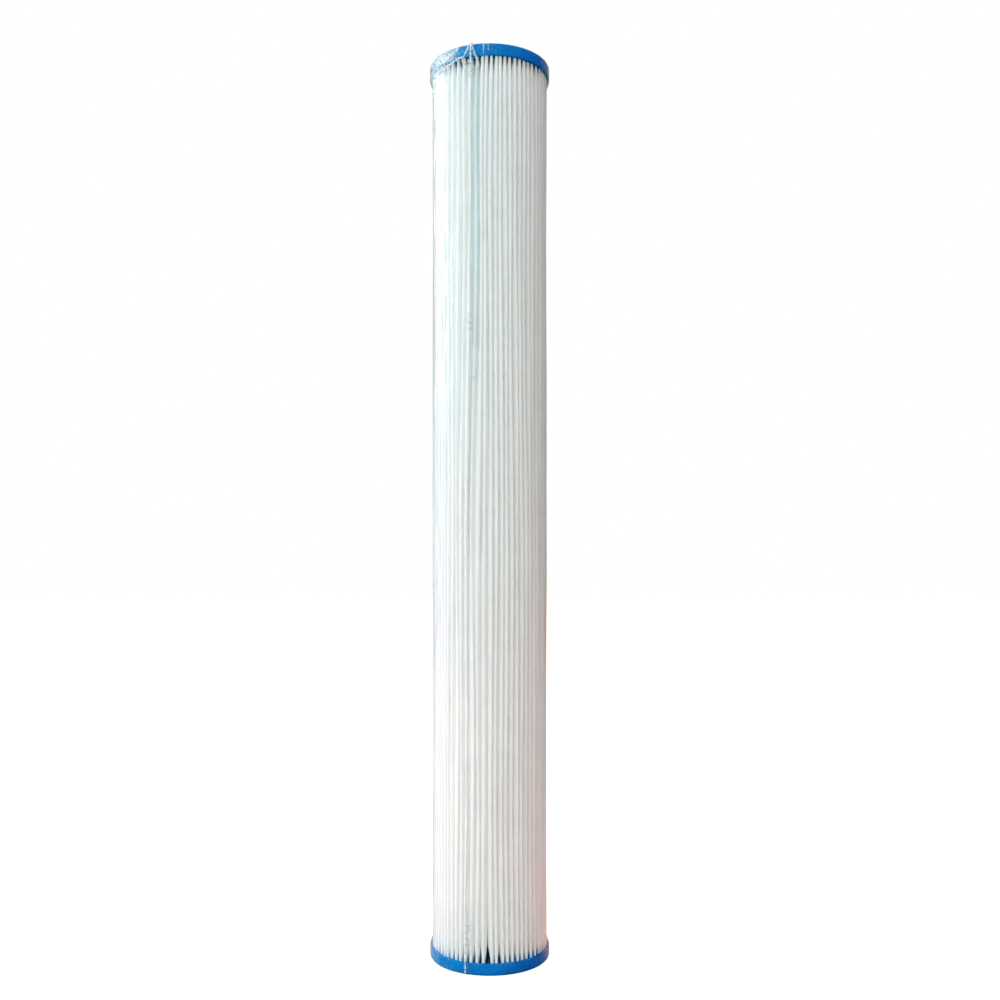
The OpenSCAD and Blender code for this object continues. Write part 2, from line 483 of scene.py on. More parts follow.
def film_material(s, name, haze):
    """Thin clear film: it mirrors at a slant, turns cloudy along its creases, has a painted highlight over the
    top rim and is tinted where doubled.
    """
    n = Nodes(name)
    place = n.place()
    creased = n.held("creased")
    fine = n.noise(n.stretch(place, (1, 1, 0.35)), 1400.0, 3.0, 0.6, 0.8)
    broad = n.noise(n.stretch(place, (1, 1, 0.3)), 160.0, 2.0, 0.5)
    facets = n.add("TexVoronoi", {"Vector": place, "Scale": 650.0}, feature="DISTANCE_TO_EDGE")
    ridged = n.remap(facets.outputs["Distance"], 0.0, 0.25, 1.0, 0.0)
    normal = n.bump(broad, 0.12 * MM, 0.35)
    normal = n.bump(n.times(fine, n.remap(creased, 0.0, 1.0, 0.12, 1.0)), 0.1 * MM, 0.6, normal)
    normal = n.bump(n.times(ridged, creased), 0.45 * MM, 0.9, normal)
    doubled = n.held("doubled")
    see = n.add("BsdfTransparent", {"Color": n.mix(doubled, (1.0, 1.0, 1.0), s.doubled_tint)})
    shine = n.add("BsdfGlossy", {"Color": (1.0, 1.0, 1.0, 1.0), "Roughness": s.roughness, "Normal": normal})
    # The cloud whitens the film along its creases. Its cyan tint and the patch over the top rim are painted
    # reflection of the cool light
    cloud = n.add("BsdfDiffuse", {"Color": (0.88, 0.98, 1.0, 1.0), "Normal": normal})
    slant = n.add("LayerWeight", {"Blend": 0.5, "Normal": normal}).outputs["Facing"]
    mirrored = n.remap(n.math("POWER", slant, 5.0), 0.0, 1.0, 0.022, 1.0)
    mirrored = n.plus(mirrored, n.times(n.times(creased, ridged), 0.25))
    clear = n.blend(mirrored, see, shine)
    crease_and_painted_cloud = n.remap(creased, 0.4, 1.0, 0.0, 0.85)
    cloudy = n.plus(n.times(crease_and_painted_cloud, n.remap(ridged, 0.0, 1.0, 0.25, 1.0)), haze)
    return n.finish(n.blend(cloudy, clear, cloud))


def floor_material(s):
    """Pale studio floor. What is seen of it glows a little, so that it stays white to its far edge."""
    n = Nodes("studio_floor")
    place = n.place()
    grain = n.noise(place, 60.0, 3.0)
    tone = n.tones(grain, scaled(s.floor_colour, 0.98), scaled(s.floor_colour, 1.02))
    plain = n.add("BsdfPrincipled", {"Base Color": tone, "Roughness": 0.7})
    glow = {"Emission Color": (1.0, 1.0, 1.0, 1.0), "Emission Strength": s.floor_glow}
    glowing = n.add("BsdfPrincipled", {"Base Color": tone, "Roughness": 0.7, **glow})
    seen = n.add("LightPath").outputs["Is Camera Ray"]
    return n.finish(n.blend(seen, plain, glowing))


# ---------------------------------------------------------------- how the pleats lie

# Where the front pleats are cast into each cap, in degrees from the front, from left to right
CAST_TIPS = {
    "bottom": (
        -51, -46, -40.5, -35, -30, -24.5, -19, -13, -6.2,
        2.8, 6.6, 13, 18, 23, 28.5, 34, 39.5, 45.5, 52, 58.5,
    ),
    "top": (
        -51, -46, -40, -33, -25, -18, -12, -7, -2.9,
        2.3, 6.8, 10.4, 15, 20, 25.4, 30.5, 36, 41, 47, 53.5, 59.5,
    ),
}
# The front pleats are counted from here, in degrees from the front
FRONT_START = -52.0
# Away from its cap, a cast pleat's shift fades towards half of itself over this length
SHIFT_FADE = 30 * MM
# Pleats start to open this far along the sheet, and lie loose past this share of the length
OPEN_START, LOOSE_SHARE = 4 * MM, 0.2


def sheet_heights(s):
    """Heights of the sheet's rows: close together near the caps and further apart between them."""
    near = np.linspace(0, 1, 14) ** 1.25 * s.spread_length
    low = CAST_Z + near
    high = LENGTH - CAST_Z - near[::-1]
    return np.concatenate([low, np.linspace(low[-1], high[0], 40)[1:-1], high])


def cast_shift(even, tips):
    """How far each pleat is cast from its even place so that the front ones stand at these tips."""
    from_front = angle_from(even, -math.pi / 2)
    order = np.argsort(from_front)
    first = np.searchsorted(from_front[order], math.radians(FRONT_START))
    shift = np.zeros(len(even))
    front = order[first : first + len(tips)]
    shift[front] = np.radians(tips) - from_front[front]
    # The shift fades away towards the back
    places = from_front[order]
    known = places[first : first + len(tips)]
    knots = [-math.pi, *known, math.pi]
    values = [0.0, *shift[front], 0.0]
    shift[order] = np.interp(places, knots, values)
    return shift


def pleat_layout(s, z):
    """Where each pleat's tip lies at each height: its azimuth, its radius and how far it has opened.

    The arrays are rows by pleats. Pleat 0 is the one at the sheet's side seam, and it stays straight.
    """
    z = np.asarray(z)[:, None]
    k = np.arange(s.pleats)[None, :]
    pitch = TAU / s.pleats
    even = SHEET_SEAM_AZ + k * pitch
    rng = np.random.default_rng(11)
    ends = {}
    from_bottom, from_top = z - CAST_Z, LENGTH - CAST_Z - z
    for end, from_cap in (("bottom", from_bottom), ("top", from_top)):
        unevenness = np.clip(rng.normal(0, s.uneven, s.pleats), -0.25, 0.25) * pitch
        kept = 0.5 + 0.5 * np.exp(-from_cap / SHIFT_FADE)
        ends[end] = unevenness + cast_shift(even[0], CAST_TIPS[end]) * kept
    up = smoothstep(from_bottom / (LENGTH - 2 * CAST_Z))
    offset = ends["bottom"] * (1 - up) + ends["top"] * up
    loose = smoothstep(np.minimum(from_bottom, from_top) / (LOOSE_SHARE * LENGTH))
    broad = ripples(21, even, z, (2, 9), (0.22, 0.7)) * 0.8
    fine = ripples(22, even, z, (18, 30), (0.16, 0.5)) * 0.45
    offset = offset + (broad + fine) * s.lean * pitch * loose
    straight = np.minimum(1, np.minimum(k, s.pleats - k) / 2)
    drop = (0.5 + 0.5 * np.clip(ripples(23, even, z, (9, 31), (0.1, 0.45), 14), -1, 1)) * s.tip_drop
    opened = smoothstep((np.minimum(from_bottom, from_top) - OPEN_START) / s.spread_length)
    return even + offset * straight, TIP_R - drop * loose, opened * straight


# Turns round one side of a tip's bend, where the pleat is cast in and where it is relaxed
TIP_TURNS = np.radians([0, 45, 90])
RELAXED_TURNS = np.radians([0, 38, 64])


def sheet_middle_line(s, z):
    """The line through the middle of the folded sheet at each height, as rows x points x 2.

    It starts and ends at the two flat ends of the sheet that meet in the side seam.
    """
    azimuth, tip_radius, opened = pleat_layout(s, z)
    rows, pleats = azimuth.shape
    pitch = TAU / pleats
    half = s.thickness / 2
    root_centre = CORE_R + s.root_clearance + half + s.root_bend
    root_depth = tip_radius - root_centre
    root_half = half_at(root_centre, pitch, np.full_like(azimuth, pitch)) - s.root_bend
    root_azimuth = azimuth + (np.roll(azimuth, -1, 1) % TAU - azimuth) % TAU / 2
    lines = {}
    for side in (-1, 1):
        beside = (side * (np.roll(azimuth, -side, 1) - azimuth)) % TAU
        depths, widths = [], []
        for cast_turn, relaxed_turn in zip(TIP_TURNS, RELAXED_TURNS):
            cast = bend_point(half, s.tip_bend, cast_turn)
            relaxed = bend_point(half, s.relaxed_bend, relaxed_turn)
            depths.append(cast[0] + (relaxed[0] - cast[0]) * opened)
            widths.append(cast[1] + (relaxed[1] - cast[1]) * opened)
        # Two points down the flank: their share of the depth where cast in, and their depth where relaxed
        for cast_share, relaxed_depth in ((0.12, s.belly_depth), (0.35, 2.6 * s.belly_depth)):
            cast_depth = root_depth * cast_share
            cast_half = s.tip_bend + (root_half - s.tip_bend) * cast_share
            depth = cast_depth + (relaxed_depth - cast_depth) * opened
            room = half_at(tip_radius - depth, pitch, beside) - half - s.pleat_gap / 2
            depths.append(depth)
            widths.append(np.minimum(cast_half + (room - cast_half) * opened, room))
        depths.append(root_depth)
        widths.append(root_half)
        lines[side] = flank_points(azimuth, tip_radius, np.stack(depths, -1), np.stack(widths, -1) * side)
    bottom = polar(np.full_like(root_azimuth, root_centre - s.root_bend), root_azimuth)[:, :, None, :]
    # From the seam pleat's far side, round every root and tip, and back to its near side
    far_side = lines[1][:, :1, 2:].reshape(rows, -1, 2)
    between = [far_side, bottom[:, 0]]
    for k in range(1, pleats):
        between += [lines[-1][:, k, ::-1][:, :-1], lines[1][:, k], bottom[:, k]]
    between.append(lines[-1][:, 0, ::-1][:, :-2])
    return np.concatenate(between, 1)


def bend_point(half, radius, turn):
    """Depth and half width of a point on a tip's bend, for a sheet of this half thickness."""
    return half + radius * (1 - math.cos(turn)), radius * math.sin(turn)


def half_at(radius, pitch, angle):
    """Half the distance along the arc between two neighbours at a radius."""
    return radius * np.clip(angle, 0.3 * pitch, 1.9 * pitch) / 2


def flank_points(azimuth, tip_radius, depths, widths):
    """Points beside each pleat's own centre line, as rows x pleats x points x 2."""
    out = polar(np.ones_like(azimuth), azimuth)[:, :, None, :]
    across = np.stack([-out[..., 1], out[..., 0]], -1)
    return out * (tip_radius[:, :, None] - depths)[..., None] + across * widths[..., None]


def line_normals(line):
    """Unit normals of each row of points, to the right of the way they run."""
    step = np.gradient(line, axis=1)
    normal = np.stack([step[..., 1], -step[..., 0]], -1)
    return normal / np.maximum(np.linalg.norm(normal, axis=-1, keepdims=True), 1e-12)


# ---------------------------------------------------------------- operators


class CARTRIDGE_OT_pleated_media(bpy.types.Operator):
    """Build the folded filter sheet"""

    bl_idname = "cartridge.pleated_media"
    bl_label = "Pleated Media"

    def execute(self, context):
        s = context.scene.filter_sheet
        z = sheet_heights(s)
        middle = sheet_middle_line(s, z)
        rows, columns = middle.shape[:2]
        normal = line_normals(middle) * s.thickness / 2
        height = np.broadcast_to(z[:, None, None], (rows, columns, 1))
        skins = [np.concatenate([middle + side * normal, height], -1) for side in (1, -1)]
        loop = np.concatenate([skins[0], skins[1][:, ::-1]], 1)
        faces = [grid_faces(rows, 2 * columns, True)]
        i = np.arange(columns - 1)
        end = np.stack([i, 2 * columns - 1 - i, 2 * columns - 2 - i, i + 1], -1)
        faces += [end, end[:, ::-1] + (rows - 1) * 2 * columns]
        faces = np.concatenate(faces).tolist()
        material = nonwoven_material(s, tuple(context.scene.filter_caps.colour))
        piece = make_object("pleated_filter_sheet", loop, faces, "pleated_media", material)
        length = np.concatenate([[0], np.cumsum(np.linalg.norm(np.diff(middle[rows // 2], axis=0), axis=1))])
        across = np.concatenate([length, length[::-1]])
        flat = np.stack(np.broadcast_arrays(across[None, :], z[:, None]), -1)
        add_uv(piece, "Sheet", flat)
        from_axis = np.linalg.norm(middle, axis=-1)
        # Painted highlight: this mask holds how near each point is to a tip, where the sheet is painted
        # lighter
        tip = smoothstep(1 - (TIP_R - s.thickness / 2 - from_axis) / s.tip_highlight_depth)
        add_point_values(piece, "creased", np.concatenate([tip, tip[:, ::-1]], 1))
        over_skirt = np.minimum(z, LENGTH - z) - SKIRT_H
        soaked = smoothstep(1 - over_skirt / s.soak_height)[:, None] * (1 - tip) ** 2
        add_point_values(piece, "soaked", np.concatenate([soaked, soaked[:, ::-1]], 1))
        return {"FINISHED"}


class CARTRIDGE_OT_side_seam(bpy.types.Operator):
    """Build the adhesive strip that joins the sheet's two ends"""

    bl_idname = "cartridge.side_seam"
    bl_label = "Side Seam"

    # Lengths of the waves along the bead, in metres
    wavelengths = (0.007, 0.011, 0.019, 0.031, 0.053)

    def execute(self, context):
        s = context.scene.filter_core
        rows, bead_points = 190, 7
        half_width = (SEAM_HIGH.x - SEAM_LOW.x) / 2
        base_half_width = 0.85 * half_width
        bulge = 0.3 * half_width
        z = np.linspace(SEAM_LOW.z, SEAM_HIGH.z, rows)
        rng = np.random.default_rng(31)
        swell = sum(np.sin(TAU * z / w + rng.uniform(0, TAU)) for w in self.wavelengths) / 3
        turn = np.linspace(0, math.pi, bead_points)
        outline_x = np.concatenate([np.cos(turn) * half_width, [-base_half_width, base_half_width]])
        rise = np.concatenate([np.sin(turn), [0, 0]])
        crest = SEAM_HIGH.y - bulge
        base = np.concatenate([np.full(bead_points, crest), [SEAM_LOW.y, SEAM_LOW.y]])
        y = base[None, :] + rise[None, :] * (bulge + s.bead_wave * (swell[:, None] - 1) / 2)
        points = np.stack(np.broadcast_arrays(outline_x, y, z[:, None]), -1)
        faces = closed_tube_faces(*y.shape)
        make_object("adhesive_strip", points, faces, "media_side_seam", adhesive_material(s))
        return {"FINISHED"}


def arc_points(centre, radius, start, stop, count):
    """Points (r, z) on an arc, with angles in degrees."""
    turn = np.radians(np.linspace(start, stop, count))
    return np.stack([centre[0] + radius * np.cos(turn), centre[1] + radius * np.sin(turn)], -1)


def cap_profile(s):
    """The turned section of the bottom cap as (r, z).

    It runs from the top of the bore down, out over the face, up the skirt and back in.
    """
    land_r = BORE_R + s.land_width
    skirt_inner = CAP_R - s.skirt_wall
    floor = s.floor_height
    chamfer, fillet, climb_width = 0.5 * MM, 0.3 * MM, 7 * MM
    lip, edge = s.lip_radius, s.edge_radius
    inward = np.linspace(0, 1, 6)
    return np.concatenate(
        [
            [[BORE_R, floor - 0.2 * MM], [BORE_R, 0.5 * floor], [BORE_R, chamfer * 1.05]],
            arc_points((BORE_R + chamfer, chamfer), chamfer, 180, 270, 6),
            np.stack([np.linspace(BORE_R + 1.5 * MM, land_r - 1.0 * MM, 5), np.zeros(5)], -1),
            arc_points((land_r - s.land_rise, s.land_rise / 2), s.land_rise / 2, -90, 0, 4),
            arc_points((land_r, s.land_rise + fillet), fillet, 210, 270, 4)[1:],
            [[land_r + 1.5 * MM, s.land_rise], [CAP_R - 2 * edge, s.land_rise]],
            arc_points((CAP_R - edge, s.land_rise + edge), edge, -90, 0, 10),
            [[CAP_R, 0.5 * (s.land_rise + edge + SKIRT_H - lip)]],
            arc_points((CAP_R - lip, SKIRT_H - lip), lip, 0, 90, 6),
            arc_points((skirt_inner + lip, SKIRT_H - lip), lip, 90, 180, 6),
            np.stack([skirt_inner - climb_width * inward, floor + s.climb * (1 - inward) ** 2], -1),
            [[CORE_R, floor], [BORE_R + 0.3 * MM, floor]],
        ]
    )


class CARTRIDGE_OT_end_caps(bpy.types.Operator):
    """Build both cast end caps"""

    bl_idname = "cartridge.end_caps"
    bl_label = "End Caps"

    segments = 256

    def execute(self, context):
        s = context.scene.filter_caps
        material = plastisol_material(s)
        for end, node, seed in (("bottom", "bottom_end_cap", 41), ("top", "top_end_cap", 42)):
            profile = cap_profile(s)
            turns = np.arange(self.segments) / self.segments * TAU
            r = np.broadcast_to(profile[:, :1], (len(profile), self.segments))
            z = np.broadcast_to(profile[:, 1:], r.shape)
            wave = ripples(seed, turns[None, :], z, (3, 24), (0.05, 0.2))
            inside = (r < CAP_R - 0.6 * s.skirt_wall) & (z > 0.8 * s.floor_height)
            lifted = np.where(z > 0.8 * SKIRT_H, 1.0, np.where(inside & (r > CORE_R), 0.7, 0.0))
            z = z - s.cast_wave * lifted * (0.5 + 0.5 * np.clip(wave, -1, 1))
            if end == "top":
                z = LENGTH - z
            xy = polar(r, np.broadcast_to(turns, r.shape))
            points = np.concatenate([xy, z[..., None]], -1)
            # The last row joins the first again, so that the turned section is closed
            faces = grid_faces(len(profile) + 1, self.segments, True) % (len(profile) * self.segments)
            if end == "bottom":
                faces = faces[:, ::-1]
            make_object(end + "_cast_cap", points, faces.tolist(), node, material, 50)
        return {"FINISHED"}


class CARTRIDGE_OT_core(bpy.types.Operator):
    """Finish the two core tubes as moulded polypropylene"""

    bl_idname = "cartridge.core"
    bl_label = "Core"

    def execute(self, context):
        material = moulded_material(context.scene.filter_core)
        for name in ("core_tube_lower", "core_tube_upper"):
            mesh = frame["nodes"][name].data
            mesh.materials.clear()
            mesh.materials.append(material)
        return {"FINISHED"}


# Half the angle round the weld where the film has more columns, in degrees
CLOSE_REACH = 48.0

# The weld's flap lies flat from here up, in metres, and fades in over this height
FLAP_LOW, FLAP_FADE = 0.27, 0.12

# Crumpled patches of film: degrees from the front, half width in degrees, height and half height in
# metres, and strength
PATCHES = (
    (-18, 7, 0.4955, 0.0065, 1.0),
    (-17, 4, 0.4535, 0.0085, 0.75),
    (-17, 3, 0.3955, 0.003, 0.7),
    (-6, 4, 0.405, 0.006, 0.65),
    (-18, 14, 0.352, 0.011, 0.7),
    (-38, 6, 0.392, 0.03, 0.6),
    (-46, 7, 0.312, 0.014, 0.75),
    (-15, 5, 0.326, 0.005, 0.8),
    (12, 8, 0.095, 0.024, 0.45),
    (-20, 4, 0.022, 0.011, 1.0),
    (-50, 14, 0.497, 0.006, 1.0),
    (-78, 14, 0.495, 0.008, 1.0),
    (120, 20, 0.25, 0.03, 0.6),
    (185, 12, 0.42, 0.02, 0.7),
    (-130, 10, 0.09, 0.03, 0.6),
    (150, 9, 0.02, 0.012, 0.8),
)

# Sharp folds of the film: degrees from the front and height at each end, then width and height of the fold
FOLDS = (
    (-17.5, 0.5082, -26.5, 0.4990, 0.9 * MM, 0.8 * MM),
    (-17.5, 0.5082, -10.5, 0.4965, 0.8 * MM, 0.7 * MM),
    (-17.5, 0.5060, -19.5, 0.4900, 0.7 * MM, 0.5 * MM),
    (-26.5, 0.4990, -20.0, 0.4930, 0.7 * MM, 0.5 * MM),
    (-10.5, 0.4965, -15.0, 0.4910, 0.7 * MM, 0.5 * MM),
    (-26.5, 0.5010, -48.0, 0.4985, 0.8 * MM, 0.4 * MM),
    (-48.0, 0.4985, -80.0, 0.4995, 0.8 * MM, 0.5 * MM),
    (-30.0, 0.5065, -52.0, 0.4995, 0.7 * MM, 0.35 * MM),
    (-20.5, 0.4995, -20.2, 0.4880, 0.5 * MM, 0.3 * MM),
    (-5.5, 0.5075, -5.8, 0.5015, 0.45 * MM, 0.3 * MM),
    (-1.5, 0.5075, -1.2, 0.5020, 0.4 * MM, 0.25 * MM),
)


# Patches up to this strength need no closer rows. Then the spacing of close and of open rows
FAINT = 0.62
FINE_STEP, COARSE_STEP = 1.1 * MM, 5 * MM


def film_heights(s):
    """Heights of the film's rows between its two necks, close together where it is crumpled."""
    low = SKIRT_H + s.neck
    strong = [patch for patch in PATCHES if patch[-1] > FAINT]
    z, heights = low, []
    while z < LENGTH - low:
        heights.append(z)
        near_end = min(z - low, LENGTH - low - z) < 10 * MM
        near_patch = any(abs(z - at) < tall + 2 * MM for _, _, at, tall, strength in strong)
        z += FINE_STEP if near_end or near_patch else COARSE_STEP
    heights.append(LENGTH - low)
    return np.array(heights)


def film_over_pleats(sheet, s, z):
    """The film's cross section at each height, drawn tight from tip to tip, as rows x columns x 2.

    It has more columns where the film is crumpled, round the weld.
    """
    azimuth, tip_radius, _ = pleat_layout(sheet, z)
    crown = sheet.tip_bend + sheet.thickness / 2
    centre = polar(tip_radius - crown, azimuth)
    over_tip = []
    for turn in np.radians([-20, -10, 0, 10, 20]):
        over_tip.append(centre + polar(np.full_like(azimuth, crown + s.clearance), azimuth + turn))
    after = np.roll(over_tip[0], -1, 1)
    span = []
    for share in np.arange(1, 6) / 6:
        point = over_tip[-1] * (1 - share) + after * share
        dip = s.sag * 4 * share * (1 - share)
        span.append(point * (1 - dip / np.linalg.norm(point, axis=-1, keepdims=True)))
    close = np.abs(angle_from(azimuth[0], WELD_AZ)) < math.radians(CLOSE_REACH)
    columns = []
    every = over_tip + span
    for pleat, is_close in enumerate(close):
        # Elsewhere a tip's two sides and middle, and the middle of the span, are enough
        used = every if is_close else [every[i] for i in (0, 2, 4, 7)]
        columns += [point[:, pleat] for point in used]
    return np.stack(columns, 1)


def film_end_profile(s, caps):
    """The film's line over the bottom cap as (r, z): from its rim out over the edge and up the skirt."""
    rim_r = BORE_R + caps.land_width + s.rim_gap
    face_z = caps.land_rise - s.clearance
    edge = caps.edge_radius
    up_skirt = np.linspace(caps.land_rise + edge, SKIRT_H, 6)[1:]
    return np.concatenate(
        [
            np.stack([np.linspace(rim_r, CAP_R - edge, 7), np.full(7, face_z)], -1)[:-1],
            arc_points((CAP_R - edge, caps.land_rise + edge), edge + s.clearance, -90, 0, 8),
            np.stack([np.full(5, CAP_R + s.clearance), up_skirt], -1),
        ]
    )


class CARTRIDGE_OT_shrink_film(bpy.types.Operator):
    """Build the clear shrink film and its weld seam"""

    bl_idname = "cartridge.shrink_film"
    bl_label = "Shrink Film"

    neck_rows = 5

    def rows(self, sheet, s, caps):
        """The film's points from the bottom rim to the top rim, as rows x columns x 3."""
        z = film_heights(s)
        over = film_over_pleats(sheet, s, z)
        end = film_end_profile(s, caps)
        levels = []
        for top in (False, True):
            last = over[-1 if top else 0]
            azimuth = np.arctan2(last[:, 1], last[:, 0])
            radius = np.linalg.norm(last, axis=1)
            part = [(polar(np.full_like(azimuth, r), azimuth), LENGTH - h if top else h) for r, h in end]
            foot_r, foot_h = end[-1]
            for share in np.linspace(0, 1, self.neck_rows + 2)[1:-1]:
                eased = smoothstep(share) * 0.5 + share * 0.5
                height = foot_h + (SKIRT_H + s.neck - foot_h) * share
                blended = foot_r + (radius - foot_r) * eased
                part.append((polar(blended, azimuth), LENGTH - height if top else height))
            levels.append(part)
        middle = [(xy, level) for xy, level in zip(over, z)]
        every = levels[0] + middle + levels[1][::-1]
        xy = np.stack([row[0] for row in every])
        height = np.broadcast_to(np.array([row[1] for row in every])[:, None], xy.shape[:2])
        return np.concatenate([xy, height[..., None]], -1)

    def execute(self, context):
        s = context.scene.filter_film
        sheet = context.scene.filter_sheet
        caps = context.scene.filter_caps
        points = self.rows(sheet, s, caps)
        azimuth = np.arctan2(points[..., 1], points[..., 0])
        height = points[..., 2]
        outward = surface_normals(points)
        shift, creased = film_relief(s, points, azimuth, height)
        points = points + outward * shift[..., None]
        faces = grid_faces(*height.shape, True).tolist()
        clear = film_material(s, "clear_film", s.haze)
        film = make_object("shrink_wrap", points, faces, "shrink_film", clear, 80)
        # The creased mask also holds the painted highlight over the top rim
        add_point_values(film, "creased", creased)
        from_weld = angle_from(azimuth, weld_azimuth(height)) * CAP_R
        flap = smoothstep(from_weld / MM) * smoothstep((s.flap_width - from_weld) / MM)
        add_point_values(film, "doubled", flap * smoothstep((height - FLAP_LOW) / FLAP_FADE))
        shell = film.modifiers.new("Thickness", "SOLIDIFY")
        shell.thickness = s.thickness
        shell.offset = -1
        self.weld(s, points, outward)
        return {"FINISHED"}

    def weld(self, s, points, outward):
        """A low bead that follows the film from rim to rim at the weld's azimuth."""
        azimuth = np.arctan2(points[..., 1], points[..., 0])
        off = angle_from(azimuth, weld_azimuth(points[..., 2]))
        order = np.argsort(off, axis=1)
        sorted_off = np.take_along_axis(off, order, 1)

        def at_weld(values):
            """The values where the weld crosses each row."""
            picked = np.take_along_axis(values, order[..., None], 1)
            return np.array([[np.interp(0, a, v) for v in row.T] for a, row in zip(sorted_off, picked)])

        line, normal = at_weld(points), at_weld(outward)
        normal /= np.linalg.norm(normal, axis=1, keepdims=True)
        side = np.array([-math.sin(WELD_AZ), math.cos(WELD_AZ), 0.0])
        z = line[:, 2]
        wander = WELD_WANDER * (np.sin(TAU * z / 0.071 + 1.0) + np.sin(TAU * z / 0.029 + 2.0) * 0.5)
        width = s.weld_width * (1 + 0.25 * np.sin(TAU * z / 0.013) * np.sin(TAU * z / 0.041))
        section = np.array([(1, 0), (0.65, 0.7), (0.2, 1), (-0.2, 1), (-0.65, 0.7), (-1, 0), (0, -0.3)])
        across = (section[None, :, 0] * width[:, None] / 2 + wander[:, None])[..., None]
        near_cap = smoothstep((SKIRT_H + 3 * MM - np.minimum(z, LENGTH - z)) / (6 * MM))
        up = (section[None, :, 1] * (s.weld_height * (0.2 + 0.8 * near_cap))[:, None])[..., None]
        bead = line[:, None] + side * across + normal[:, None] * up
        faces = closed_tube_faces(*bead.shape[:2])
        clear = film_material(s, "welded_film", s.weld_haze)
        piece = make_object("film_weld", bead, faces, "film_weld_seam", clear, 180)
        add_point_values(piece, "creased", np.repeat(0.3 + 0.7 * near_cap, bead.shape[1]))


def surface_normals(points):
    """Outward unit normals of a grid of points that wraps round the axis."""
    around = np.roll(points, -1, 1) - np.roll(points, 1, 1)
    along = np.gradient(points, axis=0)
    normal = np.cross(around, along)
    return normal / np.maximum(np.linalg.norm(normal, axis=-1, keepdims=True), 1e-12)


def weld_azimuth(height):
    """The weld runs a little askew from end to end."""
    return WELD_AZ + np.radians(-1.5 + 6.0 * height / LENGTH)


def distance_to_fold(azimuth, height, fold):
    """The distance of each point from a fold's line, over the film's surface, and its place along it."""
    start_turn, start_z, end_turn, end_z = fold[:4]
    across = angle_from(azimuth, math.radians(start_turn - 90)) * CAP_R
    up = height - start_z
    run = math.radians(end_turn - start_turn) * CAP_R, end_z - start_z
    along = np.clip((across * run[0] + up * run[1]) / (run[0] ** 2 + run[1] ** 2), 0, 1)
    return np.hypot(across - along * run[0], up - along * run[1]), along


# The loose side of the film: its azimuth and reach in degrees, and the height of its waves. The painted
# highlight over the top rim lies on this side.
LOOSE_AZ, LOOSE_REACH, LOOSE_WAVE = -142, 24, 0.14 * MM
# Height of the streaks over the caps' edges
RIM_STREAK = 0.15 * MM
# How far the weld wanders to each side, and the puckers beside it
WELD_WANDER = 0.25 * MM
PUCKER_REACH, PUCKER_PITCH, PUCKER_HEIGHT = 2 * MM, 3.7 * MM, 0.12 * MM


def film_relief(s, points, azimuth, height):
    """How far each point of the film stands off, and how creased the film is there, from 0 to 1, with a
    painted highlight over the top rim.
    """
    radius = np.linalg.norm(points[..., :2], axis=-1)
    from_end = np.minimum(height, LENGTH - height)
    on_face = np.clip((CAP_R - 0.8 * MM - radius) / (CAP_R - BORE_R), 0, 1) * (from_end < 2 * MM)
    on_rim = smoothstep((SKIRT_H + s.neck + 3 * MM - from_end) / (6 * MM))
    gathers = 0.5 + 0.5 * np.clip(ripples(51, azimuth, height, (40, 90), (0.3, 0.9), 8), -1, 1)
    streaks = creases(52, azimuth, height, (30, 80), (0.02, 0.06))
    shift = s.gather * on_face * gathers + RIM_STREAK * on_rim * streaks * (1 - np.minimum(1, on_face * 3))
    creased = np.maximum(on_face * 0.9, on_rim * 0.75 * streaks**2)
    loose = np.exp(-((angle_from(azimuth, math.radians(LOOSE_AZ)) / math.radians(LOOSE_REACH)) ** 2))
    swell = np.clip(ripples(55, azimuth, height, (6, 28), (0.018, 0.06), 8), -1, 1)
    shift = shift + LOOSE_WAVE * loose * (1 + swell)
    # Painted highlight: a cyan-white cloud over the top rim on the loose side, standing in for the cool
    # light's reflection there
    painted_rim_highlight = loose * smoothstep((SKIRT_H + 1 * MM - (LENGTH - height)) / (2 * MM))
    creased = np.maximum(creased, 0.9 * painted_rim_highlight)
    crumple = creases(53, azimuth, height, (35, 95), (0.003, 0.008))
    for centre, reach, at, tall, strength in PATCHES:
        across = angle_from(azimuth, math.radians(centre - 90)) / math.radians(reach)
        along = (height - at) / tall
        inside = np.exp(-((across**2) + along**2) * 1.2) * strength
        shift = shift + s.crease * inside * crumple
        creased = np.maximum(creased, inside * (0.35 + 0.65 * np.clip(crumple, 0, 1)))
    for fold in FOLDS:
        away, along = distance_to_fold(azimuth, height, fold)
        inside = np.clip(1 - away / fold[4], 0, 1) * (1 - 0.6 * along)
        shift = np.maximum(shift, fold[5] * inside)
        creased = np.maximum(creased, np.minimum(1, 2 * inside))
    # Small puckers on both sides of the weld
    from_weld = np.abs(angle_from(azimuth, weld_azimuth(height))) * CAP_R
    puckers = np.exp(-((from_weld / PUCKER_REACH) ** 2)) * (0.5 + 0.5 * np.sin(height * TAU / PUCKER_PITCH))
    gusts = smoothstep(ripples(54, azimuth * 0, height, (0, 0), (0.02, 0.12)) * 0.8)
    shift = shift + PUCKER_HEIGHT * puckers * gusts
    creased = np.maximum(creased, 0.6 * puckers * gusts)
    return shift, np.clip(creased, 0, 1)


# A light lower than this, in metres, lies on the table
ON_TABLE = 0.01

